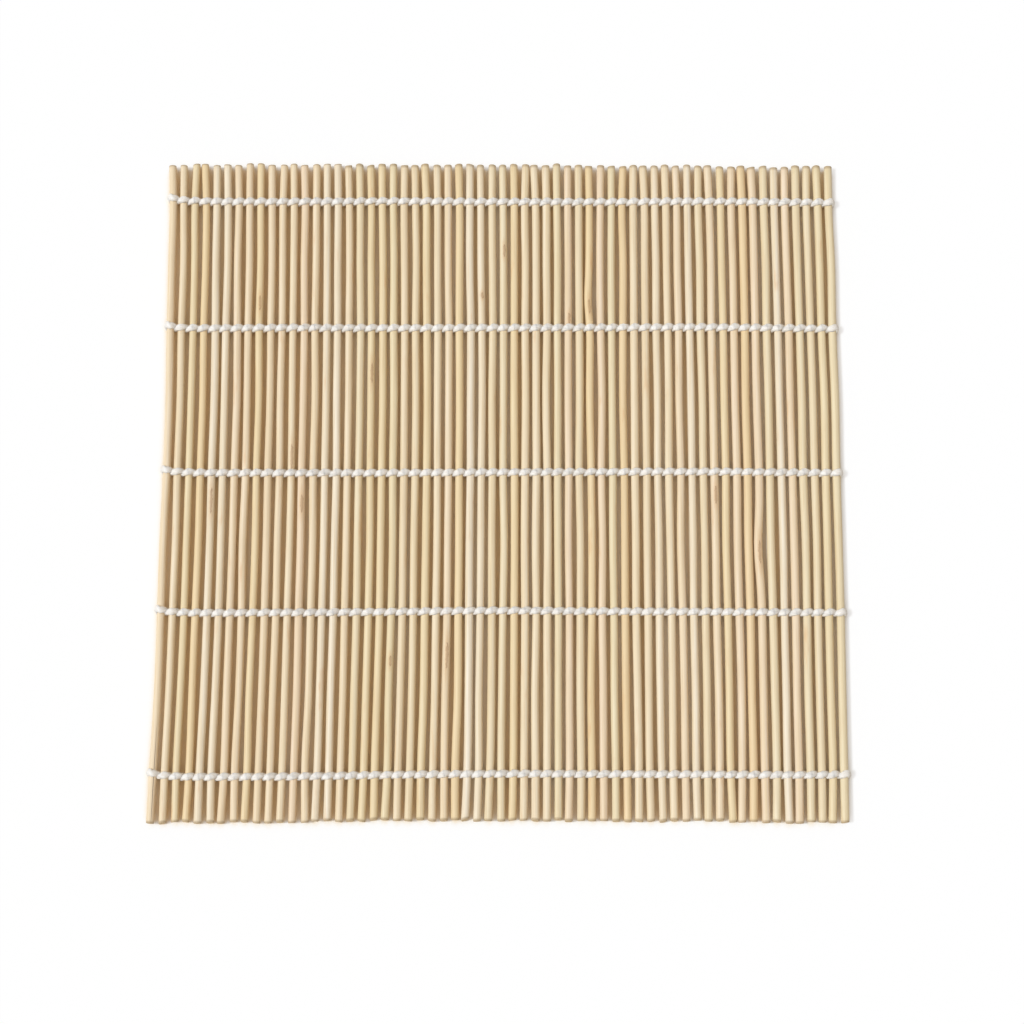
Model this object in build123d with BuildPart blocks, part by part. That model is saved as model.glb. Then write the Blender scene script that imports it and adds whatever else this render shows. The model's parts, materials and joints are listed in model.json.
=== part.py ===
from build123d import *
import os
from math import asin, radians, sin, tan

# Bamboo rolling mat: round rods side by side, tied by rows of twined cotton cord.
# X runs across the rods, Y along them and Z up.
# The origin is under the middle of the mat, on the surface that it lies on.

# Rods
rod_count = 61
rod_diameter = 2.6
# facets left by the shaving of a rod
rod_sides = 16
rod_length = 238.8
# how far a rod may have slipped along its ties, either way
end_scatter = 0.6

# Cord: each row is two strands, one over and one under every rod
strand_thickness = 1.1
strand_width = 1.3
# from the middle of a row to each strand, where the pair cross in a gap
strand_offset = 1.0
# clearance between a strand and the rod that it passes
strand_snug = 0.03
# how much wider a gap between rods is than the strand that turns down through it
gap_play = 0.25
# places of the rows along the rods, as shares of the rod's length
row_shares = (-0.434, -0.194, 0.016, 0.240, 0.438)

# Folds: the mat bends in every second gap, either way
rods_per_section = 2
fold_angle = 30
# what stays open between two strand ends at a fold that is fully bent
fold_clearance = 0.02

# Worked out from the sizes above
rod_radius = rod_diameter / 2
rod_pitch = rod_diameter + strand_thickness + gap_play
half_pitch = rod_pitch / 2
half_strand = strand_thickness / 2
# from a rod's axis to the middle of the strand that passes it
lift = rod_radius + strand_snug + half_strand
# slope of a strand where it runs down through a gap and stays clear of both rods
gap_slope = asin(lift / half_pitch)
# half the straight run of a strand over a rod
half_run = half_pitch - lift / tan(gap_slope)
# height of the rod axes over the surface
axis_height = lift + half_strand
# half the slit at a fold, where the corner of one strand end swings down to the other
half_slit = half_strand / sin(gap_slope) * tan(radians(fold_angle) / 2) + fold_clearance
# from the crown of an end rod to where its cord turns down round the outside
wrap_run = lift * tan(radians(45) / 2)
# how far the cord leans aside at those turns
wrap_lean = strand_offset * wrap_run / half_run

section_count = rod_count // rods_per_section


def rod_x(number):
    """Place of a rod across the mat, counted from 1 at the left."""
    return rod_pitch * (number - (rod_count + 1) / 2)


def rod_shift(number):
    """How far a rod has slipped along its ties, which leaves the ends uneven."""
    return end_scatter * sin(rod_count * number * number)


def section_rods(section):
    """Numbers of the rods in a section. The first section has what is left over."""
    last = rod_count - rods_per_section * (section_count - section)
    first = 1 if section == 1 else last - rods_per_section + 1
    return range(first, last + 1)


def past_rods(numbers, side):
    """Points of one strand past the rods, from left to right.

    A strand on side 1 goes over the odd rods and under the even ones, and one on
    side -1 the opposite. Where a strand goes down through a gap it stands aside to
    +Y, and where it comes up to -Y, so all its turns lean the same way."""
    points = []
    for number in numbers:
        up = side if number % 2 else -side
        points.append(Vector(rod_x(number) - half_run, -up * strand_offset, up * lift))
        points.append(Vector(rod_x(number) + half_run, up * strand_offset, up * lift))
    return points


def from_fold(points, rod, way):
    """The strand's end at the fold before (-1) or after (1) a rod, above or below the slit."""
    turn = points[0] if way < 0 else points[-1]
    up = 1 if turn.Z > 0 else -1
    return Vector(rod_x(rod) + way * (half_pitch - half_slit / tan(gap_slope)), turn.Y, up * half_slit)


def round_outside(rod, way):
    """Points round the outside of an end rod, from the strand over it to the one under."""
    x = rod_x(rod)
    return [
        Vector(x + way * wrap_run, way * wrap_lean, lift),
        Vector(x + way * lift, way * wrap_lean / 3, wrap_run),
        Vector(x + way * lift, -way * wrap_lean / 3, -wrap_run),
        Vector(x + way * wrap_run, -way * wrap_lean, -lift),
    ]


def middle_routes(rods):
    """Two strands, each from the fold before the rods to the fold after them."""
    routes = []
    for side in (1, -1):
        points = past_rods(rods, side)
        routes.append([from_fold(points, rods[0], -1), *points, from_fold(points, rods[-1], 1)])
    return routes


def first_route(rods):
    """The cord doubled round the first rod: back along one strand and out along the other."""
    over = past_rods(rods, 1)
    under = past_rods(rods, -1)
    back = [from_fold(under, rods[-1], 1), *reversed(under[1:])]
    loop = reversed(round_outside(rods[0], -1))
    return [[*back, *loop, *over[1:], from_fold(over, rods[-1], 1)]]


def last_route(rods):
    """Both strands closed round the outside of the last rod."""
    over = past_rods(rods, 1)
    under = past_rods(rods, -1)
    out = [from_fold(over, rods[0], -1), *over[:-1]]
    home = [*reversed(under[:-1]), from_fold(under, rods[0], -1)]
    return [[*out, *round_outside(rods[-1], 1), *home]]


def strand(points):
    """A closed strand of flat faces along a route, mitred at every turn.

    Its width lies along Y. The walls that face up and down are flat, and each side
    wall is two triangles wherever the strand leans aside as it goes."""
    runs = [Vector(b.X - a.X, 0, b.Z - a.Z).normalized() for a, b in zip(points, points[1:])]
    outward = [Vector(-run.Z, 0, run.X) for run in runs]
    level = Vector(1, 0, 0)
    depths = [level * (half_strand / level.dot(outward[0]))]
    for one, other in zip(outward, outward[1:]):
        depths.append((one + other) * (half_strand / (1 + one.dot(other))))
    depths.append(level * (half_strand / level.dot(outward[-1])))
    side = Vector(0, strand_width / 2, 0)
    rings = [
        (point + depth + side, point + depth - side, point - depth - side, point - depth + side)
        for point, depth in zip(points, depths)
    ]
    outlines = [rings[0], rings[-1]]
    for near, far in zip(rings, rings[1:]):
        outlines.append((near[0], near[1], far[1], far[0]))
        outlines.append((near[2], near[3], far[3], far[2]))
        for i, j in ((1, 2), (3, 0)):
            outlines.append((near[i], near[j], far[j]))
            outlines.append((near[i], far[j], far[i]))
    walls = [Face(Wire.make_polygon(outline)) for outline in outlines]
    return Solid(Shell(walls)).clean()


def section_routes(section, rods):
    """The cord routes of one row in a section."""
    if section == 1:
        return first_route(rods)
    if section == section_count:
        return last_route(rods)
    return middle_routes(rods)


row_places = [Vector(0, share * rod_length, axis_height) for share in row_shares]

os.makedirs("parts", exist_ok=True)

for section in range(1, section_count + 1):
    numbers = section_rods(section)

    with BuildPart() as rods:
        for number in numbers:
            rod_end = Plane(
                origin=(rod_x(number), rod_shift(number) - rod_length / 2, axis_height),
                z_dir=(0, 1, 0),
            )
            with BuildSketch(rod_end):
                RegularPolygon(rod_radius, rod_sides)
            extrude(amount=rod_length)
    rods.part.label = f"rods_{section:02d}"
    export_step(rods.part, f"parts/rods_{section:02d}.step")

    strands = [strand(route) for route in section_routes(section, numbers)]
    with BuildPart() as cords:
        with Locations(*row_places):
            add(strands)
    cords.part.label = f"cords_{section:02d}"
    export_step(cords.part, f"parts/cords_{section:02d}.step")
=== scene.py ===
# %% [markdown]
# A bamboo rolling mat is a row of thin rods, tied side by side by five rows of twined cotton cord.
# The imported CAD model holds its construction: every rod, every strand and the folds between them.
# This lesson dresses that model. It loads it first.

# %% Load the imported model
import json
from math import cos, pi, radians, sin

import bmesh
import bpy
import numpy as np
from mathutils import Matrix, Vector

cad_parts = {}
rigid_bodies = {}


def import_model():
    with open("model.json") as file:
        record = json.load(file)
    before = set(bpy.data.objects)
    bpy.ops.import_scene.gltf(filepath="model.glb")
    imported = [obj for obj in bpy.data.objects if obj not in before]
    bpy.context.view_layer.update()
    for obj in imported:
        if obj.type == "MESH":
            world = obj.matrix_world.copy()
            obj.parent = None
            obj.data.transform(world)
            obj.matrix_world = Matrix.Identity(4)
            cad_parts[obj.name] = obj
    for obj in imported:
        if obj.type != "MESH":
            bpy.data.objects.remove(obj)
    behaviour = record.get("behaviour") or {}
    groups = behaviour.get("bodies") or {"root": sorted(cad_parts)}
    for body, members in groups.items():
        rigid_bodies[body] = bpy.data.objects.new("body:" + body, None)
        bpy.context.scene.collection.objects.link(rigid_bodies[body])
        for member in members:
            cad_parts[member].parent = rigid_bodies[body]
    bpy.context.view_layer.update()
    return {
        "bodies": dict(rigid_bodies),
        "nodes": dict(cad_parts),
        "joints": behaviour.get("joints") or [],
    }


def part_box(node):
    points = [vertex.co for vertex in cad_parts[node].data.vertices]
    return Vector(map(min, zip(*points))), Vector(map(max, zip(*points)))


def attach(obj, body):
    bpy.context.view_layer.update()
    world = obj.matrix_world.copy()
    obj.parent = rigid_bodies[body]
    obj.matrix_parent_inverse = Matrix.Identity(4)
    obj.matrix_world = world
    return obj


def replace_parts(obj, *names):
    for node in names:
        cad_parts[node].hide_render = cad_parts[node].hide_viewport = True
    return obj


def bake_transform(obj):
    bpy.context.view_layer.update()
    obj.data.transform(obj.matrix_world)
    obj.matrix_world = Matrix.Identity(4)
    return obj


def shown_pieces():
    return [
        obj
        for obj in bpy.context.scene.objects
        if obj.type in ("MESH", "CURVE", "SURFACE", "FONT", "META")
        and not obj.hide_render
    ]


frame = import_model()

MM = 0.001
sections = sorted(frame["bodies"])

# %% [markdown]
# Nothing is measured twice. The rods' thickness, spacing and ends are read from the nodes of the
# model. Each section of the mat has its own rods, and they are numbered from the left edge to the
# right. The ends of the real rods are a little more level than the model's, so each is drawn
# towards the line of them all.

# %% Read the rods from the model
low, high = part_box("rods_02")
rod_radius = (high.z - low.z) / 2
axis_height = (high.z + low.z) / 2
rod_pitch = (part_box("rods_03")[0].x - low.x) / 2

end_share = 0.5
rods_of = {}
rod_x = {}
rod_ends = {}
for section in sections:
    node = section.replace("section", "rods")
    low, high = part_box(node)
    points = np.array([v.co for v in frame["nodes"][node].data.vertices])
    rods_of[section] = []
    for i in range(round((high.x - low.x - 2 * rod_radius) / rod_pitch) + 1):
        number = len(rod_x) + 1
        rods_of[section].append(number)
        rod_x[number] = low.x + rod_radius + i * rod_pitch
        own = points[abs(points[:, 0] - rod_x[number]) < rod_pitch / 2]
        rod_ends[number] = own[:, 1].min(), own[:, 1].max()
last_rod = len(rod_x)
even_ends = np.mean(list(rod_ends.values()), axis=0)
for number, own in rod_ends.items():
    rod_ends[number] = tuple(even_ends + end_share * (np.array(own) - even_ends))
print(last_rod, "rods,", round(rod_radius * 2 / MM, 2), "mm thick")
print("one every", round(rod_pitch / MM, 2), "mm")

# %% [markdown]
# The rows of cord are read from the model too. The corners of one section's strands fall into five
# groups along the rods, with long stretches of bare rod between them, and the middle of each group
# is a row. Only the thickness of the model's strands is given by hand.

# %% Read the rows of cord from the model
bare_stretch = 13 * MM
strand_radius = 0.55 * MM

strand_ys = np.sort([v.co.y for v in frame["nodes"]["cords_15"].data.vertices])
breaks = np.where(np.diff(strand_ys) > bare_stretch)[0] + 1
row_ys = [(group[0] + group[-1]) / 2 for group in np.split(strand_ys, breaks)]
low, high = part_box("cords_15")
strand_lift = (high.z - low.z) / 2 - strand_radius
print("rows of cord at", [round(y / MM, 1) for y in row_ys], "mm")

# %% [markdown]
# The whole mat has been pulled a little out of square in use. Its left half bows to the right
# halfway along, and its rods have slipped along their ties. That changes slowly over the mat, so
# values for seven of its rods are enough, with a smooth line through them.

# %% How the mat was pulled
def through_knots(at, knots, values):
    """A smooth line through the values at the knots."""
    slopes = np.gradient(values, knots)
    i = np.clip(np.searchsorted(knots, at) - 1, 0, len(knots) - 2)
    gap = knots[i + 1] - knots[i]
    t = (at - knots[i]) / gap
    near = values[i] * (1 + 2 * t) + slopes[i] * gap * t
    far = values[i + 1] * (3 - 2 * t) - slopes[i + 1] * gap * (1 - t)
    return near * (1 - t) ** 2 + far * t * t


# how far aside some of the rods lie, in mm, at their front ends, halfway and at their back ends
pulled_rods = np.array([1, 11, 21, 31, 40, 50, 61])
pulled_front = np.array([-1.4, -0.4, 0.1, 0.3, 0.25, 0.6, 0.0])
pulled_middle = np.array([0.0, 0.45, 1.2, 0.85, 0.1, 0.55, 0.4])
pulled_back = np.array([-1.3, -0.75, -0.2, 0.2, 0.25, 0.2, 0.0])


def pulled_aside(number, y):
    """How far a rod lies aside of its even place. It bows from its front end to its back end."""
    front, middle, back = (through_knots(number, pulled_rods, aside) * MM
                           for aside in (pulled_front, pulled_middle, pulled_back))
    v = y / rod_ends[number][1]
    return middle + (back - front) / 2 * v + ((front + back) / 2 - middle) * v * v


# how far along the ends of the same rods have slipped, in mm, at the front and at the back
slipped_ends = np.array([
    [-0.65, -0.5, 0.3, 0.35, 0.3, 0.2, -0.4],
    [-0.6, -0.35, -0.3, -0.25, -0.4, -0.65, -0.85],
])
for number, own in rod_ends.items():
    rod_ends[number] = tuple(end + through_knots(number, pulled_rods, slipped) * MM
                             for end, slipped in zip(own, slipped_ends))
print("the middle of rod 21 lies", round(float(pulled_aside(21, 0)) / MM, 2), "mm aside")

# %% [markdown]
# A rod that was split and shaved from a cane is never quite straight. Its ties hold it near its
# place, it wanders between them, and its free ends wander most. The values at the ties, the ends
# and halfway between are random. Both the rods and the cords that hug them are built on these
# lines, so a rod that stands aside is still tied snugly.

# %% Lines of the rods
rng = np.random.default_rng(61)
tie_drift = 0.12 * MM
middle_drift = 0.22 * MM
end_drift = 0.32 * MM
# how widely rods differ in drift, and the most that any of them has
drift_variety = 0.7
drift_most = 1.4
rod_sag = 0.05 * MM

middles = [(a + b) / 2 for a, b in zip(row_ys, row_ys[1:])]
inner_knots = sorted([*row_ys, *middles])
inner_drifts = [tie_drift if y in row_ys else middle_drift for y in inner_knots]
spread = [end_drift, *inner_drifts, end_drift]
rod_knots = {}
rod_drift = {}
rod_rise = {}
for number in rod_x:
    rod_knots[number] = np.array([rod_ends[number][0], *inner_knots, rod_ends[number][1]])
    drift = rng.normal(0, drift_variety, len(spread))
    rod_drift[number] = np.clip(drift, -drift_most, drift_most) * spread
    rod_rise[number] = rng.uniform(0, rod_sag, len(spread))

# the free back ends of two pairs of rods lean together until they nearly touch, in mm
leaning_ends = {3: 0.5, 4: -0.4, 33: 0.5, 34: -0.5}
for number, lean in leaning_ends.items():
    rod_drift[number][-1] = lean * MM
# the rods to the right of the crooked ones have moved up to them, at one place between two ties
moved_up = -0.25 * MM
for number, place in ((40, 8), (55, 4)):
    rod_drift[number][place] = moved_up

# two rods are crooked at a knot in the cane: where along it, over what length, how far aside
knots_in_cane = {39: (68 * MM, 9 * MM, -0.6 * MM), 54: (-23 * MM, 12 * MM, -0.75 * MM)}


def rod_line(number, y):
    """Where the middle of a rod is, across and up, at a place along it."""
    x = rod_x[number] + pulled_aside(number, y)
    x = x + through_knots(y, rod_knots[number], rod_drift[number])
    if number in knots_in_cane:
        place, length, aside = knots_in_cane[number]
        x = x + aside * np.exp(-((y - place) / length) ** 2)
    z = axis_height + through_knots(y, rod_knots[number], rod_rise[number])
    return x, z


print("the first rod stands at", round(float(rod_line(1, 0)[0]) / MM, 2), "mm halfway along")

# %% [markdown]
# Blender's node trees are built here by one helper. It adds a node, sets its options, and gives
# each input either a fixed value or another node's output to follow. The others are short forms
# of it, for the nodes that come up again and again.

# %% Helpers for node trees
def add(tree, kind, inputs=(), **options):
    """Adds a node and returns it. Inputs are pairs of a socket and a value or an output."""
    made = tree.nodes.new(kind)
    for name, value in options.items():
        setattr(made, name, value)
    for name, value in dict(inputs).items():
        if isinstance(value, bpy.types.NodeSocket):
            tree.links.new(value, made.inputs[name])
        else:
            made.inputs[name].default_value = value
    return made


def math(tree, operation, *values):
    """A Math node's output."""
    return add(tree, "ShaderNodeMath", enumerate(values), operation=operation).outputs[0]


def vector_math(tree, operation, *values):
    """A Vector Math node's output."""
    made = add(tree, "ShaderNodeVectorMath", enumerate(values), operation=operation)
    return made.outputs["Vector"]


def change(tree, kind, shape, inputs=(), **options):
    """Adds a node that takes a shape, and returns the shape that it gives."""
    inputs = {0: shape, **dict(inputs)}
    return add(tree, "GeometryNode" + kind, inputs, **options).outputs[0]


def carried(tree, name, data_type="FLOAT"):
    """What the points of a shape carry under a name."""
    made = add(tree, "GeometryNodeInputNamedAttribute", {"Name": name}, data_type=data_type)
    return made.outputs[0]


# %% [markdown]
# A Geometry Nodes tree draws a shape from its inputs, so one tree serves for every section. It is
# run through a modifier, and the plain mesh that comes out is kept.

# %% Helpers for trees that draw shapes
def geometry_tree(name, **inputs):
    """A Geometry Nodes tree with named inputs. Returns it with what comes in by them."""
    tree = bpy.data.node_groups.new(name, "GeometryNodeTree")
    tree.interface.new_socket("Geometry", in_out="INPUT", socket_type="NodeSocketGeometry")
    kinds = {float: "NodeSocketFloat", int: "NodeSocketInt"}
    for label, value in inputs.items():
        kind = kinds.get(type(value), "NodeSocketMaterial")
        socket = tree.interface.new_socket(label, in_out="INPUT", socket_type=kind)
        socket.default_value = value
    tree.interface.new_socket("Geometry", in_out="OUTPUT", socket_type="NodeSocketGeometry")
    return tree, tree.nodes.new("NodeGroupInput").outputs


def run_tree(source, tree, name, **inputs):
    """Runs a tree on an object and returns the result as a plain mesh object."""
    modifier = source.modifiers.new(tree.name, "NODES")
    modifier.node_group = tree
    for socket in tree.interface.items_tree:
        if socket.in_out == "INPUT" and socket.name in inputs:
            modifier[socket.identifier] = inputs[socket.name]
    bpy.context.view_layer.update()
    graph = bpy.context.evaluated_depsgraph_get()
    made = bpy.data.meshes.new_from_object(source.evaluated_get(graph))
    source.modifiers.remove(modifier)
    result = bpy.data.objects.new(name, made)
    bpy.context.scene.collection.objects.link(result)
    return result


def remove(source):
    """Takes away an object that only carried lines for a tree."""
    mesh = source.data
    bpy.data.objects.remove(source)
    bpy.data.meshes.remove(mesh)


# %% [markdown]
# A tree needs lines to follow. The simplest carrier for them is a mesh of edges alone, because a
# mesh also stores a value of any kind at each of its points, such as how thick a rod is there.

# %% Helper for the lines that a tree follows
def line_object(name, lines, **attributes):
    """An object of edges along some lines, with a value at every point for each attribute."""
    points = np.concatenate(lines)
    starts = np.cumsum([0, *[len(line) for line in lines]])
    edges = [(i, i + 1) for a, b in zip(starts, starts[1:]) for i in range(a, b - 1)]
    mesh = bpy.data.meshes.new(name)
    mesh.from_pydata(points.tolist(), edges, [])
    for label, values in attributes.items():
        values = np.concatenate(values).astype(np.float32)
        kind, field = ("FLOAT_VECTOR", "vector") if values.ndim > 1 else ("FLOAT", "value")
        mesh.attributes.new(label, kind, "POINT").data.foreach_set(field, values.ravel())
    made = bpy.data.objects.new(name, mesh)
    bpy.context.scene.collection.objects.link(made)
    return made


# %% [markdown]
# Every finish here is made from a few parts: a colour, noise that is stretched along the rods, a
# ramp that turns a number into a colour, and a mix of two colours. Each part is a short helper, so
# that a material reads as a list of what one sees on it.

# %% Helpers for materials
def srgb(red, green, blue):
    """A given colour, as the linear numbers that a shader takes."""
    linear = [((c / 255 + 0.055) / 1.055) ** 2.4 for c in (red, green, blue)]
    return (*linear, 1.0)


def material(name):
    """A new material. Returns it with its tree and its shader."""
    made = bpy.data.materials.new(name)
    made.use_nodes = True
    shader = made.node_tree.nodes["Principled BSDF"]
    return made, made.node_tree, shader


def attribute(tree, name):
    """A number that every point of a mesh carries."""
    return add(tree, "ShaderNodeAttribute", attribute_name=name).outputs["Fac"]


# how far apart in the noise two rods lie whose tones are 0 and 1
noise_apart = 50.0


def stretched_noise(tree, size, tone, **inputs):
    """Noise in grains of the given size, in metres, that differs with the tone."""
    place = add(tree, "ShaderNodeTexCoord").outputs["Object"]
    grains = vector_math(tree, "DIVIDE", place, size)
    shift = math(tree, "MULTIPLY", tone, noise_apart)
    noise = add(tree, "ShaderNodeTexNoise", {"Vector": grains, "W": shift, "Scale": 1.0, **inputs},
                noise_dimensions="4D")
    return noise.outputs["Fac"]


def grey(value):
    """A grey for a ramp whose colour is used as a share."""
    return value, value, value, 1


def ramp(tree, value, *stops):
    """A colour ramp with stops of a place and a colour."""
    made = add(tree, "ShaderNodeValToRGB", {"Fac": value})
    for _ in stops[2:]:
        made.color_ramp.elements.new(0.5)
    for element, (place, colour) in zip(made.color_ramp.elements, stops):
        element.position = place
        element.color = colour
    return made.outputs["Color"]


def mix(tree, share, one, other):
    """One colour mixed with another. The colours are the node's inputs 6 and 7."""
    made = add(tree, "ShaderNodeMix", {0: share, 6: one, 7: other}, data_type="RGBA")
    return made.outputs[2]


# %% [markdown]
# Where a leaf grew, the cane has a knot, and the shaved rod shows it as a narrow brown scar with a
# pale brown halo. The first rod has a split near its front end. Both are long ovals on the skin. A
# painted picture could show them, but an oval worked out from the place on the rod needs none, and
# a little noise frays its rim.

# %% Helpers for the marks on a rod
halo_colour = srgb(216, 174, 124)
halo_share = 0.5
halo_aside = 0.2 * MM
halo_half_width = 1.0 * MM
# the halo is this many times as long as the scar
halo_longer = 2.2
scar_colour = srgb(146, 106, 74)
scar_aside = 0.3 * MM
scar_half_width = 0.42 * MM
# how far the rim of a mark is frayed, and how fine the fraying is
fray = 0.8 * MM
fray_scale = 900.0
split_colour = srgb(104, 78, 62)
split_middle = (0.5 * MM, -106 * MM)
split_half_width = 0.13 * MM
split_half_length = 24 * MM


def inside(tree, across, along, middle, half_width, half_length):
    """How far inside a narrow oval a place is: 1 at its middle and 0 at its rim."""
    across = math(tree, "DIVIDE", math(tree, "SUBTRACT", across, middle[0]), half_width)
    along = math(tree, "DIVIDE", math(tree, "SUBTRACT", along, middle[1]), half_length)
    square = math(tree, "ADD", math(tree, "POWER", across, 2.0), math(tree, "POWER", along, 2.0))
    return math(tree, "MAXIMUM", math(tree, "SUBTRACT", 1.0, square), 0.0)


def marks(tree, body):
    """The scars of the knots in the cane, and the split in the first rod."""
    place = add(tree, "ShaderNodeTexCoord").outputs["Object"]
    wobble = add(tree, "ShaderNodeTexNoise", {"Vector": place, "Scale": fray_scale}).outputs["Fac"]
    middle = add(tree, "ShaderNodeAttribute", attribute_name="middle").outputs["Vector"]
    aside = add(tree, "ShaderNodeSeparateXYZ", {0: vector_math(tree, "SUBTRACT", place, middle)})
    aside = aside.outputs["X"]
    rod = add(tree, "ShaderNodeSeparateXYZ", {0: middle})
    along = rod.outputs["Y"]
    across = math(tree, "ADD", aside, math(tree, "MULTIPLY", wobble, fray))
    across = math(tree, "SUBTRACT", across, fray / 2)
    at = attribute(tree, "scar_place")
    size = attribute(tree, "scar_length")
    halo_size = math(tree, "MULTIPLY", size, halo_longer)
    halo = inside(tree, across, along, (halo_aside, at), halo_half_width, halo_size)
    body = mix(tree, math(tree, "MULTIPLY", halo, halo_share), body, halo_colour)
    scar = inside(tree, across, along, (scar_aside, at), scar_half_width, size)
    rim = ramp(tree, scar, (0.0, grey(0)), (0.25, grey(0.65)), (0.7, grey(0.3)))
    body = mix(tree, rim, body, scar_colour)
    split = inside(tree, aside, along, split_middle, split_half_width, split_half_length)
    first = math(tree, "LESS_THAN", rod.outputs["X"], (rod_x[1] + rod_x[2]) / 2)
    return mix(tree, math(tree, "MULTIPLY", split, first), body, split_colour)


# %% [markdown]
# Bamboo is pale straw with long fine fibres. One rod is creamier, the next one pinker or greener,
# and here and there it is stained. The colour of a rod comes from its tone, one random number that
# the rod carries as an attribute. Noise that is stretched along the rod gives streaks, fibres and
# stains, and the fibres are also a faint relief. The cut ends show pores and no gloss.

# %% Materials: bamboo and its cut ends
# the size of one grain of each pattern, across the rod, along it and across it
fibre_size = (0.22 * MM, 18 * MM, 0.22 * MM)
streak_size = (0.9 * MM, 60 * MM, 0.9 * MM)
stain_size = (3 * MM, 22 * MM, 3 * MM)
pore_size = (0.28 * MM, 10 * MM, 0.28 * MM)
fibre_depth = 0.07 * MM
pore_depth = 0.1 * MM


def bamboo():
    """The skin of the rods."""
    made, tree, shader = material("bamboo")
    tone = attribute(tree, "tone")
    fibre = stretched_noise(tree, fibre_size, tone, Detail=3.0)
    streak = stretched_noise(tree, streak_size, tone, Detail=2.0)
    stain = stretched_noise(tree, stain_size, tone, Detail=4.0, Roughness=0.6)
    body = ramp(tree, tone,
                (0.0, srgb(242, 231, 211)), (0.25, srgb(240, 224, 195)), (0.5, srgb(239, 218, 192)),
                (0.7, srgb(234, 221, 187)), (0.9, srgb(238, 215, 174)), (1.0, srgb(236, 211, 171)))
    streaked = ramp(tree, streak, (0.35, grey(0)), (0.75, grey(0.5)))
    body = mix(tree, streaked, body, srgb(226, 200, 150))
    fibrous = ramp(tree, fibre, (0.45, grey(0)), (0.8, grey(0.55)))
    body = mix(tree, fibrous, body, srgb(205, 172, 122))
    stained = ramp(tree, stain, (0.62, grey(0)), (0.8, grey(0.7)))
    body = mix(tree, stained, body, srgb(214, 160, 100))
    body = marks(tree, body)
    # each rod is darker over the last part towards its cut ends
    tip = attribute(tree, "tip")
    darker_tip = ramp(tree, tip, (0.7, grey(0)), (0.95, grey(0.75)))
    body = mix(tree, darker_tip, body, srgb(176, 152, 118))
    tree.links.new(body, shader.inputs["Base Color"])
    rough = add(tree, "ShaderNodeMapRange", {"Value": streak, "To Min": 0.42, "To Max": 0.62})
    tree.links.new(rough.outputs["Result"], shader.inputs["Roughness"])
    bump = add(tree, "ShaderNodeBump", {"Height": fibre, "Strength": 0.5, "Distance": fibre_depth})
    tree.links.new(bump.outputs["Normal"], shader.inputs["Normal"])
    shader.inputs["Specular IOR Level"].default_value = 0.35
    return made


def cut_bamboo():
    """The cut ends of the rods."""
    made, tree, shader = material("cut_bamboo")
    tone = attribute(tree, "tone")
    pores = stretched_noise(tree, pore_size, tone, Detail=2.0)
    body = ramp(tree, pores, (0.38, srgb(232, 212, 172)), (0.62, srgb(192, 160, 116)))
    tree.links.new(body, shader.inputs["Base Color"])
    bump = add(tree, "ShaderNodeBump", {"Height": pores, "Strength": 0.5, "Distance": pore_depth})
    tree.links.new(bump.outputs["Normal"], shader.inputs["Normal"])
    shader.inputs["Roughness"].default_value = 0.85
    return made


bamboo_skin = bamboo()
bamboo_end = cut_bamboo()
print("materials:", bamboo_skin.name, bamboo_end.name)

# %% [markdown]
# A rod is a circle drawn along its line. The circle could be drawn by hand for all 61 rods, but a
# Geometry Nodes tree does it for any number of lines: it turns the edges into curves, draws the
# circle along them, closes both ends, cuts those a little askew, and presses long shallow facets
# into the skin, as a shaving knife leaves them.

# %% Tree: shaved rods
# how broad and how long the facets are
facet_size = (1.1 * MM, 90 * MM, 1.1 * MM)
# a face whose normal lies along the rod by more than this is a cut end
end_on = 0.8


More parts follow.
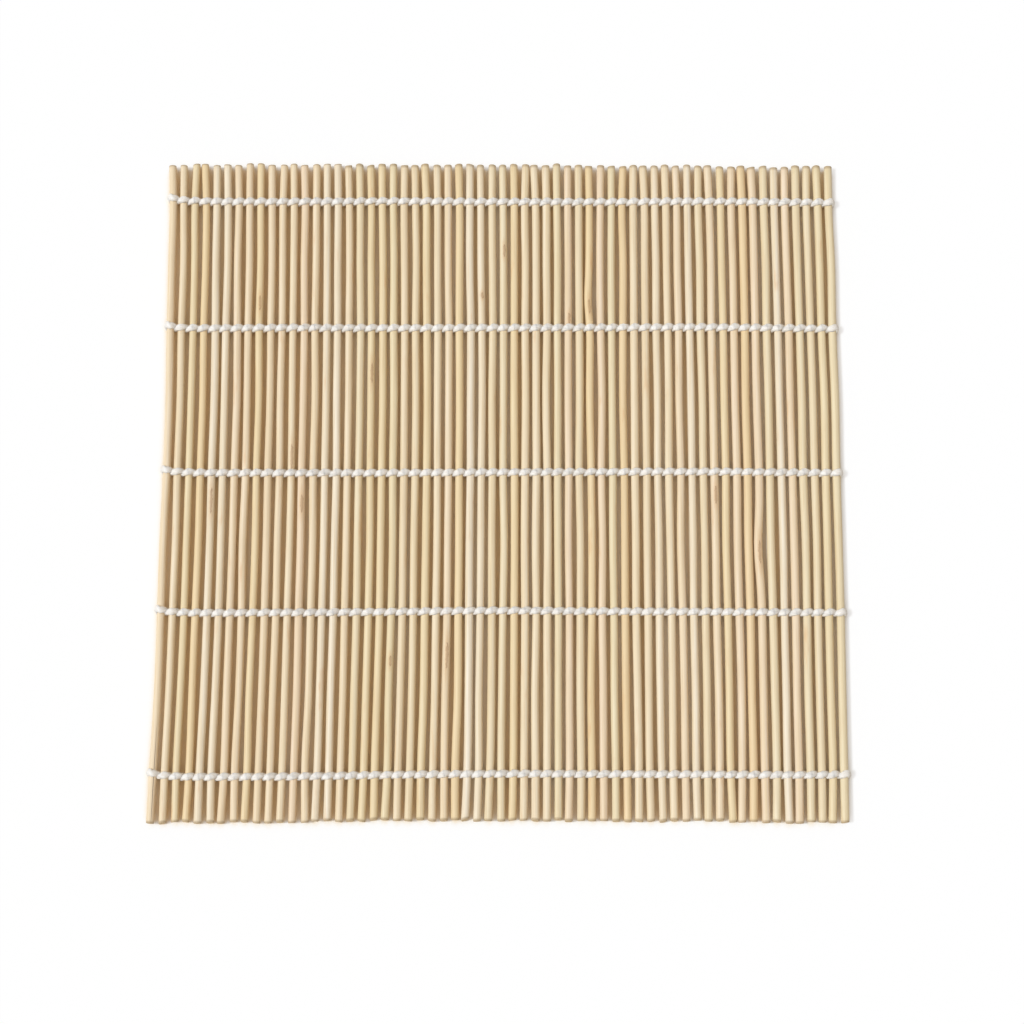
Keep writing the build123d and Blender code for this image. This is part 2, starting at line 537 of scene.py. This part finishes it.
def shaved_rods():
    """Draws a rod along every line. The lines carry its width and the slant of its cuts."""
    tree, given = geometry_tree(
        "shaved_rods", Thickness=1.0, Sides=22, Facets=0.0, Skin=bamboo_skin, Cut=bamboo_end)
    here = add(tree, "GeometryNodeInputPosition").outputs["Position"]
    lines = change(tree, "MeshToCurve", given["Geometry"])
    lines = change(tree, "StoreNamedAttribute", lines, {"Name": "middle", "Value": here},
                   data_type="FLOAT_VECTOR", domain="POINT")
    half = math(tree, "MULTIPLY", given["Thickness"], 0.5)
    ring = add(tree, "GeometryNodeCurvePrimitiveCircle", {"Resolution": given["Sides"], "Radius": half})
    rods = change(tree, "CurveToMesh", lines,
                  {"Profile Curve": ring.outputs["Curve"], "Scale": carried(tree, "width"),
                   "Fill Caps": True})
    aside = vector_math(tree, "SUBTRACT", here, carried(tree, "middle", "FLOAT_VECTOR"))
    aside = add(tree, "ShaderNodeSeparateXYZ", {0: aside})
    askew = math(tree, "ADD", math(tree, "MULTIPLY", aside.outputs["X"], carried(tree, "slant")),
                 math(tree, "MULTIPLY", aside.outputs["Z"], carried(tree, "skew")))
    cut = add(tree, "ShaderNodeCombineXYZ", {"Y": askew}).outputs[0]
    grain = vector_math(tree, "DIVIDE", here, facet_size)
    shaving = add(tree, "ShaderNodeTexNoise", {"Vector": grain, "Scale": 1.0, "Detail": 1.0})
    depth = math(tree, "SUBTRACT", shaving.outputs["Fac"], 0.5)
    depth = math(tree, "MULTIPLY", depth, given["Facets"])
    outward = add(tree, "GeometryNodeInputNormal").outputs["Normal"]
    pressed = vector_math(tree, "SCALE", outward)
    tree.links.new(depth, pressed.node.inputs["Scale"])
    rods = change(tree, "SetPosition", rods, {"Offset": vector_math(tree, "ADD", cut, pressed)})
    lengthwise = add(tree, "ShaderNodeSeparateXYZ", {0: outward}).outputs["Y"]
    end = add(tree, "FunctionNodeCompare", {0: math(tree, "ABSOLUTE", lengthwise), 1: end_on},
              data_type="FLOAT", operation="GREATER_THAN").outputs["Result"]
    round_side = add(tree, "FunctionNodeBooleanMath", {0: end}, operation="NOT").outputs[0]
    rods = change(tree, "SetShadeSmooth", rods, {"Shade Smooth": round_side})
    rods = change(tree, "RealizeInstances", rods)
    rods = change(tree, "SetMaterial", rods, {"Material": given["Skin"]})
    rods = change(tree, "SetMaterial", rods, {"Selection": end, "Material": given["Cut"]})
    add(tree, "NodeGroupOutput", {"Geometry": rods})
    return tree


rod_tree = shaved_rods()
print(rod_tree.name, "has", len(rod_tree.nodes), "nodes")

# %% [markdown]
# No two rods are alike. One is thicker, one swells and thins along its length, each was cut by
# hand, and a few show the scar of a knot in the cane. What is random lies between these sizes.

# %% How the rods differ
rod_step = 3 * MM
# the thinnest and the thickest rod at the left, against the model's, and what the right adds
thinnest, thickest = 0.99, 1.07
right_thicker = 0.08
# how much a rod swells and thins along itself, and over what lengths, in mm
swell_most = 0.03
swell_waves = 12, 30
# each end is rounded over this length, down to this share of the rod
end_round = 0.18 * MM
end_narrow = 0.88
cut_lean = 0.09
facet_depth = 0.09 * MM

# a few rods have a scar from a knot: where along the rod it is, and how long it is each way
scars = {5: (-7, 5), 9: (66, 3), 12: (9, 5), 13: (-8, 3.5), 19: (40, 4), 21: (-64, 2), 26: (-62, 5),
         29: (69, 1.2), 31: (86, 2.5), 37: (60.5, 2.2), 39: (65, 3), 50: (-4.5, 3.5), 54: (-25, 4.5)}
no_scar = (1000, 1)
# two rods at the right have a tone that was picked: a middling one, and a greenish cream
picked_tones = {57: 0.45, 61: 0.68}
print(len(scars), "rods have a scar")

# %% [markdown]
# The lines of a section's rods go into the tree together, with what makes each rod itself: its
# tone, how its thickness changes along it, and how its ends were cut. One mesh comes out for each
# section, and it stands for the section's plain CAD rods.

# %% Rods of every section
rod_pieces = {}
for section in sections:
    lines, widths, slants, skews, tones, tips = [], [], [], [], [], []
    scar_places, scar_lengths = [], []
    for number in rods_of[section]:
        start, stop = rod_ends[number]
        inner = np.arange(start + rod_step, stop - rod_step / 2, rod_step)
        y = np.array([start, start + end_round, *inner, stop - end_round, stop])
        x, z = rod_line(number, y)
        lines.append(np.stack([x, y, z], 1))
        swell = rng.uniform(0, swell_most)
        wave, phase = rng.uniform(*swell_waves), rng.uniform(0, 2 * pi)
        width = rng.uniform(thinnest, thickest) + right_thicker * (number / last_rod) ** 2
        width = width * (1 + swell * np.sin(y / MM / wave + phase))
        width[[0, -1]] *= end_narrow
        widths.append(width)
        for values in (slants, skews):
            lean = np.zeros(len(y))
            lean[:2] = rng.normal(0, cut_lean)
            lean[-2:] = rng.normal(0, cut_lean)
            values.append(lean)
        tone = rng.uniform(0, 1)
        tones.append(np.full(len(y), picked_tones.get(number, tone)))
        tip = np.zeros(len(y))
        tip[[0, 1, -2, -1]] = 1
        tips.append(tip)
        scar_place, scar_length = scars.get(number, no_scar)
        scar_places.append(np.full(len(y), scar_place * MM))
        scar_lengths.append(np.full(len(y), scar_length * MM))
    source = line_object("rod_lines", lines, width=widths, slant=slants, skew=skews, tone=tones,
                         tip=tips, scar_place=scar_places, scar_length=scar_lengths)
    piece = run_tree(source, rod_tree, section.replace("section", "bamboo_rods"),
                     Thickness=2 * rod_radius, Facets=facet_depth)
    remove(source)
    rod_pieces[section] = piece
print(sum(len(p.data.polygons) for p in rod_pieces.values()), "faces on the rods")

# %% [markdown]
# A row of cord runs straight across the mat when it is new. Here each row wanders a little, has
# slipped along the rods here and there, and starts a bit high at the left edge.

# %% Where the rows run
# how far a row wanders to either side, and over what lengths, in mm
row_wander = 0.35 * MM
wander_waves = 25, 60
# how high a row starts at the left edge, and over how many rods it comes down
start_rise = 0.9 * MM
start_reach = 1.3
# how far along the rods each row has slipped at some of them, in mm, from the front row to the back
slipped_rows = np.array([
    [-1.08, -0.38, 0.28, 0.31, 0.17, 0.52, 0.8],
    [-0.56, -0.32, -0.21, 0.04, -0.28, -0.25, -0.14],
    [-0.86, -0.93, -0.75, -0.14, 0.29, 0.57, 0.0],
    [-1.23, -0.87, -0.9, -0.54, -0.18, 0.29, -0.04],
    [0.0, 0.26, 0.44, 0.04, -0.18, 0.07, -0.04],
])
wander_shapes = [(rng.uniform(*wander_waves), rng.uniform(0, 2 * pi)) for _ in row_ys]


def row_y(row, x):
    """Where a row of cord runs. It has slipped here and there, and starts high at the left edge."""
    wave, phase = wander_shapes[row]
    number = 1 + (x - rod_x[1]) / rod_pitch
    slipped = through_knots(np.clip(number, 1, last_rod), pulled_rods, slipped_rows[row]) * MM
    start = start_rise * np.exp((1 - number) / start_reach)
    return row_ys[row] + row_wander * sin(x / MM / wave + phase) + slipped + start


print("the first row starts at", round(row_y(0, rod_x[1]) / MM, 1), "mm")

# %% [markdown]
# Each row of cord is one long cord, doubled round the first rod. Its halves go over and under the
# rods by turns and change places in every gap. Seen from above, each turn over a rod is a plump
# lobe that leans to the right. The middle of the cord is worked out rod by rod: an arc round the
# rod, then a steep run down or up through the gap, where one half stands in front of the other.

# %% Half a turn of the cord
# how far a strand stands aside where two pass each other in a gap
cord_aside = 0.35 * MM
# how much nearer to a rod the soft cord lies than the model's strand
cord_sink = 0.16 * MM
# round the outside of the first and the last rod: how far the cord leans, and how far it bulges
loop_lean = {-1: -0.35 * MM, 1: 0.3 * MM}
loop_bulge = {-1: -0.45 * MM, 1: -0.3 * MM}
# steps from a crown to a gap, and from a crown round the outside
gap_steps = 7
loop_steps = 10
crown_lift = strand_lift - cord_sink


def half_turn(row, number, up, side):
    """The middle of a strand from a rod's crown to the gap on one side, or round the outside.

    It goes over the rod where up is 1 and under it where up is -1. The side is 1 for the
    right and -1 for the left. Each point has its place, how near it is to the crown, from 0
    to 1, how far it has got along the row, in rods, and the axes of the two rods that it
    passes: the near one and the one beyond the gap."""
    x, z = rod_line(number, row_ys[row])
    near = far = (x, 0, z)
    if number + side in rod_x:
        beyond = rod_line(number + side, row_ys[row])
        far = (beyond[0], 0, beyond[1])
        angles = np.linspace(0, pi / 2, gap_steps + 1)
        across = abs(beyond[0] - x) / 2 * angles / angles[-1]
        height = crown_lift * np.cos(angles)
        aside = cord_aside * np.sin(angles)
    else:
        angles = np.linspace(0, pi / 2, loop_steps + 1)
        across = (crown_lift + loop_bulge[side]) * np.sin(angles)
        height = crown_lift * np.cos(angles)
        aside = loop_lean[side] * np.sin(2 * angles)
    turn = []
    for i, (a, h, lean) in enumerate(zip(across, height, aside)):
        place = x + side * a
        reach = number + side * 0.5 * i / (len(across) - 1)
        point = (place, row_y(row, place) + side * up * lean, z + up * h)
        crown = (h / crown_lift) ** 2 if number + side in rod_x else 1.0
        turn.append((*point, crown, reach, *near, *far))
    return turn


crowns = [half_turn(0, number, 1, 1)[0][2] for number in rod_x]
print("the cord crosses the rods", round(float(np.mean(crowns)) / MM, 2), "mm up")

# %% [markdown]
# A whole row is 122 of these half turns to the right, and as many back to the left under and over
# the same rods. Their points make one line, and its length is the cord that a row takes.

# %% Lines of the cords
def row_line(row):
    """A whole row: one half of the cord to the right edge, and the other half back under it.

    It starts and ends under the crown of the first rod, where no seam is seen."""
    halves = []
    for way in (1, -1):
        for number in sorted(rod_x, reverse=way < 0):
            up = way if number % 2 else -way
            halves.append(half_turn(row, number, up, -way)[::-1])
            halves.append(half_turn(row, number, up, way))
    halves = halves[-1:] + halves[:-1]
    points = [point for half in halves for point in half[:-1]]
    return np.array([*points, halves[-1][-1]])


row_lines = [row_line(row) for row in range(len(row_ys))]
lengths = [np.linalg.norm(np.diff(line[:, :3], axis=0), axis=1).sum() for line in row_lines]
print("cord in each row:", [round(length / MM) for length in lengths], "mm")

# %% [markdown]
# The cord is creamy white cotton, matt and soft, and light sinks into it a little. Fine yarns wind
# round it, with painted shade in the grooves between them. The pattern could be drawn on a flat
# map of the cord, but here the cord carries two numbers at every point, how far along it is and how
# far round, and the yarns are waves in these.

# %% Material: cotton
# yarns side by side round the cord, and how far along it they climb from one to the next
yarns = 12
yarn_lay = 0.9 * MM
yarn_depth = 0.08 * MM
# how fine the fluff is, in grains round the cord and in grains to a metre of it
fluff_around = 4.0
fluff_along = 700.0


def cotton():
    """The cord's cotton, with its yarns, painted shade in their grooves, and its fluff."""
    made, tree, shader = material("cotton_cord")
    around = attribute(tree, "around")
    along = attribute(tree, "along")
    turn = math(tree, "MULTIPLY", around, 2 * pi)
    place = add(tree, "ShaderNodeCombineXYZ",
                {"X": math(tree, "MULTIPLY", math(tree, "COSINE", turn), fluff_around),
                 "Y": math(tree, "MULTIPLY", math(tree, "SINE", turn), fluff_around),
                 "Z": math(tree, "MULTIPLY", along, fluff_along)}).outputs[0]
    fluff = add(tree, "ShaderNodeTexNoise", {"Vector": place, "Scale": 1.0, "Detail": 4.0})
    fluff = fluff.outputs["Fac"]
    body = ramp(tree, fluff, (0.3, srgb(238, 229, 219)), (0.6, srgb(253, 248, 242)))
    winding = math(tree, "ADD", math(tree, "MULTIPLY", around, yarns),
                   math(tree, "DIVIDE", along, -yarn_lay))
    winding = math(tree, "ADD", winding, math(tree, "MULTIPLY", fluff, 0.5))
    yarn = math(tree, "ABSOLUTE", math(tree, "SINE", math(tree, "MULTIPLY", winding, pi)))
    # painted shade: the grooves between the yarns are darker
    painted_groove_shade = ramp(tree, yarn, (0.05, grey(0.3)), (0.5, grey(0)))
    body = mix(tree, painted_groove_shade, body, srgb(202, 189, 177))
    tree.links.new(body, shader.inputs["Base Color"])
    height = math(tree, "ADD", math(tree, "MULTIPLY", fluff, 0.5), yarn)
    bump = add(tree, "ShaderNodeBump", {"Height": height, "Strength": 0.7, "Distance": yarn_depth})
    tree.links.new(bump.outputs["Normal"], shader.inputs["Normal"])
    shader.inputs["Roughness"].default_value = 0.9
    shader.inputs["Specular IOR Level"].default_value = 0.2
    shader.inputs["Sheen Weight"].default_value = 0.3
    shader.inputs["Subsurface Weight"].default_value = 0.7
    shader.inputs["Subsurface Radius"].default_value = (1.0, 1.0, 1.0)
    shader.inputs["Subsurface Scale"].default_value = 0.8 * MM
    return made


cotton_cord = cotton()
print("material:", cotton_cord.name, "with", len(cotton_cord.node_tree.nodes), "nodes")

# %% [markdown]
# A cotton cord is laid up from three plies. Here that is one circle with three shallow waves,
# drawn along the cord and turned as it goes, so that its grooves wind round it. Where the cord
# presses on a rod it is flatter and wider, and the tree spreads it there about its own middle. A
# soft cord gives way to a hard rod, so what would lie inside a rod is pushed out to its skin.

# %% Tree: laid cord
def laid_cord():
    """Draws a cord along every line. The lines carry how near the crown is, and the rods' axes."""
    tree, given = geometry_tree(
        "laid_cord", Thickness=1.0, Sides=12, Plies=3.0, Groove=0.1, Lay=1.0, Gap_Width=1.0,
        Crown_Width=1.0, Rod=1.0, Cotton=cotton_cord)
    here = add(tree, "GeometryNodeInputPosition").outputs["Position"]
    length = add(tree, "GeometryNodeSplineParameter").outputs["Length"]
    lines = change(tree, "MeshToCurve", given["Geometry"])
    tilt = math(tree, "MULTIPLY", math(tree, "DIVIDE", length, given["Lay"]), 2 * pi)
    lines = change(tree, "SetCurveTilt", lines, {"Tilt": tilt})
    lines = change(tree, "StoreNamedAttribute", lines, {"Name": "middle", "Value": here},
                   data_type="FLOAT_VECTOR", domain="POINT")
    lines = change(tree, "StoreNamedAttribute", lines, {"Name": "along", "Value": length},
                   data_type="FLOAT", domain="POINT")
    half = math(tree, "MULTIPLY", given["Thickness"], 0.5)
    ring = add(tree, "GeometryNodeCurvePrimitiveCircle", {"Resolution": given["Sides"], "Radius": half})
    share = add(tree, "GeometryNodeSplineParameter").outputs["Factor"]
    ring = change(tree, "StoreNamedAttribute", ring.outputs["Curve"],
                  {"Name": "around", "Value": share}, data_type="FLOAT", domain="POINT")
    turn = math(tree, "MULTIPLY", share, 2 * pi)
    wave = math(tree, "COSINE", math(tree, "MULTIPLY", turn, given["Plies"]))
    waved = vector_math(tree, "SCALE", here)
    tree.links.new(math(tree, "MULTIPLY", wave, given["Groove"]), waved.node.inputs["Scale"])
    ring = change(tree, "SetPosition", ring, {"Offset": waved})
    cords = change(tree, "CurveToMesh", lines, {"Profile Curve": ring})
    aside = vector_math(tree, "SUBTRACT", here, carried(tree, "middle", "FLOAT_VECTOR"))
    spread = add(tree, "ShaderNodeMapRange",
                 {"Value": carried(tree, "crown"), "To Min": given["Gap_Width"],
                  "To Max": given["Crown_Width"]}).outputs["Result"]
    shape = add(tree, "ShaderNodeCombineXYZ", {"Y": math(tree, "SUBTRACT", spread, 1.0)}).outputs[0]
    cords = change(tree, "SetPosition", cords, {"Offset": vector_math(tree, "MULTIPLY", aside, shape)})
    for label in ("near_rod", "far_rod"):
        out = vector_math(tree, "SUBTRACT", here, carried(tree, label, "FLOAT_VECTOR"))
        out = vector_math(tree, "MULTIPLY", out, (1, 0, 1))
        far = add(tree, "ShaderNodeVectorMath", {0: out}, operation="LENGTH").outputs["Value"]
        short = math(tree, "MAXIMUM", math(tree, "SUBTRACT", given["Rod"], far), 0.0)
        push = vector_math(tree, "SCALE", vector_math(tree, "NORMALIZE", out))
        tree.links.new(short, push.node.inputs["Scale"])
        cords = change(tree, "SetPosition", cords, {"Offset": push})
    sunk = add(tree, "ShaderNodeSeparateXYZ", {0: here})
    rested = add(tree, "ShaderNodeCombineXYZ",
                 {"X": sunk.outputs["X"], "Y": sunk.outputs["Y"],
                  "Z": math(tree, "MAXIMUM", sunk.outputs["Z"], 0.0)}).outputs[0]
    cords = change(tree, "SetPosition", cords, {"Position": rested})
    facing = add(tree, "GeometryNodeInputNormal").outputs["Normal"]
    cords = change(tree, "StoreNamedAttribute", cords, {"Name": "facing", "Value": facing},
                   data_type="FLOAT_VECTOR", domain="POINT")
    cords = change(tree, "RealizeInstances", cords)
    cords = change(tree, "SetMaterial", cords, {"Material": given["Cotton"]})
    add(tree, "NodeGroupOutput", {"Geometry": cords})
    return tree


# %% [markdown]
# All five rows go through the tree together. They come out as one mesh, because the yarns then run
# on unbroken from section to section. It is parted afterwards.

# %% All the cords in one mesh
cord_thickness = 1.95 * MM
cord_lay = 9 * MM
ply_groove = 0.08
# how much wider the cord is on a crown, and how near it may come to a rod's axis
crown_width = 1.32
rod_clearance = 1.05 * rod_radius

source = line_object("cord_lines", [line[:, :3] for line in row_lines],
                     crown=[line[:, 3] for line in row_lines],
                     reach=[line[:, 4] for line in row_lines],
                     near_rod=[line[:, 5:8] for line in row_lines],
                     far_rod=[line[:, 8:11] for line in row_lines])
all_cords = run_tree(source, laid_cord(), "all_cords", Thickness=cord_thickness, Groove=ply_groove,
                     Lay=cord_lay, Crown_Width=crown_width, Rod=rod_clearance)
remove(source)
print(len(all_cords.data.polygons), "faces on the cords")

# %% [markdown]
# The mat bends where its cords bend, so the cords are parted at the crowns of the rods, where
# they lie still. A stretch between two rods of one section rides on that section. A stretch over
# a fold is a piece of its own, between its two sections.

# %% Tree: one stretch of the cords
def one_stretch():
    """Keeps the faces between two places along the row, which are given in rods."""
    tree, given = geometry_tree("one_stretch", From=0.0, To=1.0, Cotton=cotton_cord)
    reach = carried(tree, "reach")
    after = add(tree, "FunctionNodeCompare", {0: reach, 1: given["From"]},
                data_type="FLOAT", operation="GREATER_THAN").outputs["Result"]
    before = add(tree, "FunctionNodeCompare", {0: reach, 1: given["To"]},
                 data_type="FLOAT", operation="LESS_THAN").outputs["Result"]
    both = add(tree, "FunctionNodeBooleanMath", {0: after, 1: before}, operation="AND").outputs[0]
    part = change(tree, "SeparateGeometry", given["Geometry"], {"Selection": both}, domain="FACE")
    part = change(tree, "RealizeInstances", part)
    part = change(tree, "SetMaterial", part, {"Material": given["Cotton"]})
    add(tree, "NodeGroupOutput", {"Geometry": part})
    return tree


stretch_tree = one_stretch()
print(stretch_tree.name, "has", len(stretch_tree.nodes), "nodes")

# %% [markdown]
# The tree leaves a stretch open where it was parted. The mesh tools close it with flat faces. Every
# old corner keeps the shading of the whole cord, and only the new faces have their own.

# %% Helper for a stretch of the cords
def cord_stretch(name, first, last):
    """The stretches of all five cords from the crown of one rod to the crown of another."""
    piece = run_tree(all_cords, stretch_tree, name, From=float(first), To=float(last))
    shell = bmesh.new()
    shell.from_mesh(piece.data)
    bmesh.ops.holes_fill(shell, edges=[e for e in shell.edges if e.is_boundary], sides=0)
    shell.to_mesh(piece.data)
    shell.free()
    facing = [tuple(value.vector) for value in piece.data.attributes["facing"].data]
    corners = []
    for face in piece.data.polygons:
        whole = len(face.vertices) == 4
        corners.extend(facing[v] if whole else (0, 0, 0) for v in face.vertices)
    piece.data.normals_split_custom_set(corners)
    return piece


# %% [markdown]
# Each section carries its rods and the stretches of cord between them. The stretch over a fold is
# a piece of its own between two sections, and it is attached to neither of them. The plain rods
# and strands of the CAD model are then hidden.

ends = {}
for section in sections:
    first, last = rods_of[section][0], rods_of[section][-1]
    ends[section] = first, last
    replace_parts(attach(rod_pieces[section], section),
                section.replace("section", "rods"))
    start = 0 if first == 1 else first
    stop = last_rod + 1 if last == last_rod else last
    stretch = cord_stretch(section.replace("section", "cord_turns"), start, stop)
    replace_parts(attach(stretch, section),
                section.replace("section", "cords"))
for joint in frame["joints"]:
    before, after = joint["parent"], joint["child"]
    last, first = ends[before][1], ends[after][0]
    stretch = cord_stretch(joint["name"].replace("fold", "cord_fold"), last, first)
    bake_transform(stretch)
remove(all_cords)

# %% [markdown]
# The mat was photographed from high in front of it, with a long lens, and it lies almost square
# to the camera. The camera is placed by its distance, its height angle and a small turn and roll,
# measured round the point that it looks at.

# %% Camera
camera_distance = 0.856
camera_lens = 85
camera_sensor = 36
camera_height_angle = 77.3
camera_turn = -0.2
camera_roll = 0.33
looked_at = Vector((3.9 * MM, -10.0 * MM, 0))

turn, rise = radians(camera_turn), radians(camera_height_angle)
back = Vector((sin(turn) * cos(rise), -cos(turn) * cos(rise), sin(rise)))
camera = bpy.data.objects.new("camera", bpy.data.cameras.new("camera"))
bpy.context.scene.collection.objects.link(camera)
camera.data.lens = camera_lens
camera.data.sensor_width = camera_sensor
camera.location = looked_at + back * camera_distance
camera.rotation_mode = "QUATERNION"
rolled = Matrix.Rotation(radians(camera_roll), 4, "Z").to_quaternion()
camera.rotation_quaternion = (-back).to_track_quat("-Z", "Y") @ rolled
bpy.context.scene.camera = camera
print("the camera stands", round(camera.location.z, 3), "m above the floor")

# %% [markdown]
# The floor is plain and pale. In the photograph the open floor is white, and only the gaps between
# the rods are dark and warm, and a little greyer to the right. The dark is the rods' real shade,
# and the warmth is painted shade. The Ambient Occlusion node finds the gaps, because in a gap the
# rods hide most of the sky, and there the floor is painted warm, both as it is seen and for the
# light that it bounces. The open floor has painted light of its own, so that it keeps only a light
# shadow.

# %% Floor paint
# how far away a rod still shades the floor
gap_reach = 12 * MM
# the shares of open sky at which a gap begins to turn into open floor, and at which it has
gap_sky, open_sky = 0.57, 0.68
# painted light: how much of its light the open floor gives by itself, so that its shadow is light
open_glow = 0.7
# painted shade: the colours that the camera sees on the floor in the gaps, warm, and greyer in patches
# and to the right
painted_warm_gap_shade = (0.94, 0.8, 0.57, 1)
painted_grey_gap_shade = (1.0, 0.99, 0.92, 1)
gap_patches = (5 * MM, 150 * MM, 1.0)
# painted shade: the colour that the floor bounces in the gaps, warm, and the one it bounces in the open
painted_gap_bounce = (0.8, 0.55, 0.26, 1)
open_bounce = (0.8, 0.78, 0.74, 1)
white = (1, 1, 1, 1)


def is_seen(tree):
    """1 for a ray that shows the background, straight or in a shiny or clear surface."""
    path = add(tree, "ShaderNodeLightPath")
    mirrored = math(tree, "MAXIMUM", path.outputs["Is Glossy Ray"], path.outputs["Is Transmission Ray"])
    return math(tree, "MAXIMUM", path.outputs["Is Camera Ray"], mirrored)


def pale_floor():
    """White in the open, with painted light that keeps its shadow light, and dark under the mat, with
    painted warm shade in the gaps.
    """
    made, tree, shader = material("pale_floor")
    tree.nodes.remove(shader)
    sky = add(tree, "ShaderNodeAmbientOcclusion", {"Distance": gap_reach}, samples=8).outputs["AO"]
    is_open = add(tree, "ShaderNodeMapRange",
                  {"Value": sky, "From Min": gap_sky, "From Max": open_sky},
                  interpolation_type="SMOOTHSTEP").outputs["Result"]
    place = add(tree, "ShaderNodeTexCoord").outputs["Object"]
    across = add(tree, "ShaderNodeSeparateXYZ", {0: place}).outputs["X"]
    greyer = math(tree, "ADD", stretched_noise(tree, gap_patches, 0.0, Detail=1.0), across)
    # painted shade: the floor in the gaps is painted warm, and greyer in patches and to the right
    gap = ramp(tree, greyer, (0.4, painted_warm_gap_shade), (0.66, painted_grey_gap_shade))
    seen = is_seen(tree)
    # painted shade: in the gaps the floor is painted warm for the light that it bounces
    bounce = mix(tree, is_open, painted_gap_bounce, open_bounce)
    shown = mix(tree, is_open, gap, white)
    paint = add(tree, "ShaderNodeBsdfDiffuse", {"Color": mix(tree, seen, bounce, shown)})
    glow = add(tree, "ShaderNodeEmission", {"Strength": 1.0})
    # painted light: the open floor glows by itself, so that its shadow is light
    share = math(tree, "MULTIPLY", math(tree, "MULTIPLY", seen, is_open), open_glow)
    both = add(tree, "ShaderNodeMixShader", {0: share})
    tree.links.new(paint.outputs[0], both.inputs[1])
    tree.links.new(glow.outputs[0], both.inputs[2])
    tree.links.new(both.outputs[0], tree.nodes["Material Output"].inputs["Surface"])
    return made


floor_paint = pale_floor()
print("material:", floor_paint.name)

# %% [markdown]
# The floor itself is one large square. A fold can take part of the mat below its resting place, so
# a small tree reads the lowest point of the mat and lowers the floor to it.

# %% Floor
floor_half = 2


def floor_under():
    """Lowers the floor to the lowest point of the mat, where a fold takes that below zero."""
    tree, given = geometry_tree("floor_under", Paint=floor_paint)
    tree.interface.new_socket("Mat", in_out="INPUT", socket_type="NodeSocketCollection")
    mat = add(tree, "GeometryNodeCollectionInfo", {"Collection": given["Mat"]},
              transform_space="RELATIVE")
    solid = change(tree, "RealizeInstances", mat.outputs["Instances"])
    lowest = add(tree, "GeometryNodeBoundBox", {"Geometry": solid}).outputs["Min"]
    lowest = add(tree, "ShaderNodeSeparateXYZ", {0: lowest}).outputs["Z"]
    down = add(tree, "ShaderNodeCombineXYZ", {"Z": math(tree, "MINIMUM", lowest, 0.0)}).outputs[0]
    floor = change(tree, "SetPosition", given["Geometry"], {"Offset": down})
    floor = change(tree, "RealizeInstances", floor)
    floor = change(tree, "SetMaterial", floor, {"Material": given["Paint"]})
    add(tree, "NodeGroupOutput", {"Geometry": floor})
    return tree


mat = bpy.data.collections.new("mat")
bpy.context.scene.collection.children.link(mat)
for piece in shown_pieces():
    mat.objects.link(piece)

corners = [(-1, -1), (1, -1), (1, 1), (-1, 1)]
floor_mesh = bpy.data.meshes.new("floor")
floor_mesh.from_pydata([(floor_half * x, floor_half * y, 0) for x, y in corners], [], [(0, 1, 2, 3)])
floor = bpy.data.objects.new("floor", floor_mesh)
bpy.context.scene.collection.objects.link(floor)
lowering = floor.modifiers.new("floor_under", "NODES")
lowering.node_group = floor_under()
for socket in lowering.node_group.interface.items_tree:
    if socket.name == "Mat":
        lowering[socket.identifier] = mat

# %% [markdown]
# One soft lamp stands high on the left, which gives each rod its bright left side and its dark
# right one. The sky does nearly half of the lighting, because the shadows in the photograph are
# pale. The two add up to a plain level, at which a colour renders as it was picked. The sky is
# faintly warm, and the lamp as much colder, so that together they are white.

# %% Light
# a sun of this strength, straight above, shows a colour as it was picked
plain_level = pi
key_share = 0.55
key_height_angle = 58
key_softness = 9
# how far to the front the lamp stands, against its distance
key_to_front = 0.1
sky_share = 1 - key_share
sky_colour = (1.0, 0.9, 0.78)

key = bpy.data.objects.new("key", bpy.data.lights.new("key", "SUN"))
bpy.context.scene.collection.objects.link(key)
height = radians(key_height_angle)
key.data.energy = plain_level * key_share / sin(height)
key.data.angle = radians(key_softness)
key.data.color = [(1 - sky_share * part) / key_share for part in sky_colour]
from_left = Vector((-cos(height), -key_to_front, sin(height)))
key.rotation_mode = "QUATERNION"
key.rotation_quaternion = from_left.to_track_quat("Z", "Y")

world = bpy.data.worlds.new("studio")
bpy.context.scene.world = world
world.use_nodes = True
tree = world.node_tree
seen = is_seen(tree)
strength = add(tree, "ShaderNodeMapRange", {"Value": seen, "To Min": sky_share, "To Max": 1.0})
tree.links.new(strength.outputs["Result"], tree.nodes["Background"].inputs["Strength"])
colour = mix(tree, seen, (*sky_colour, 1), white)
tree.links.new(colour, tree.nodes["Background"].inputs["Color"])

bpy.context.scene.view_settings.view_transform = "Standard"
print("lamp strength", round(key.data.energy, 2), "and sky share", round(sky_share, 2))
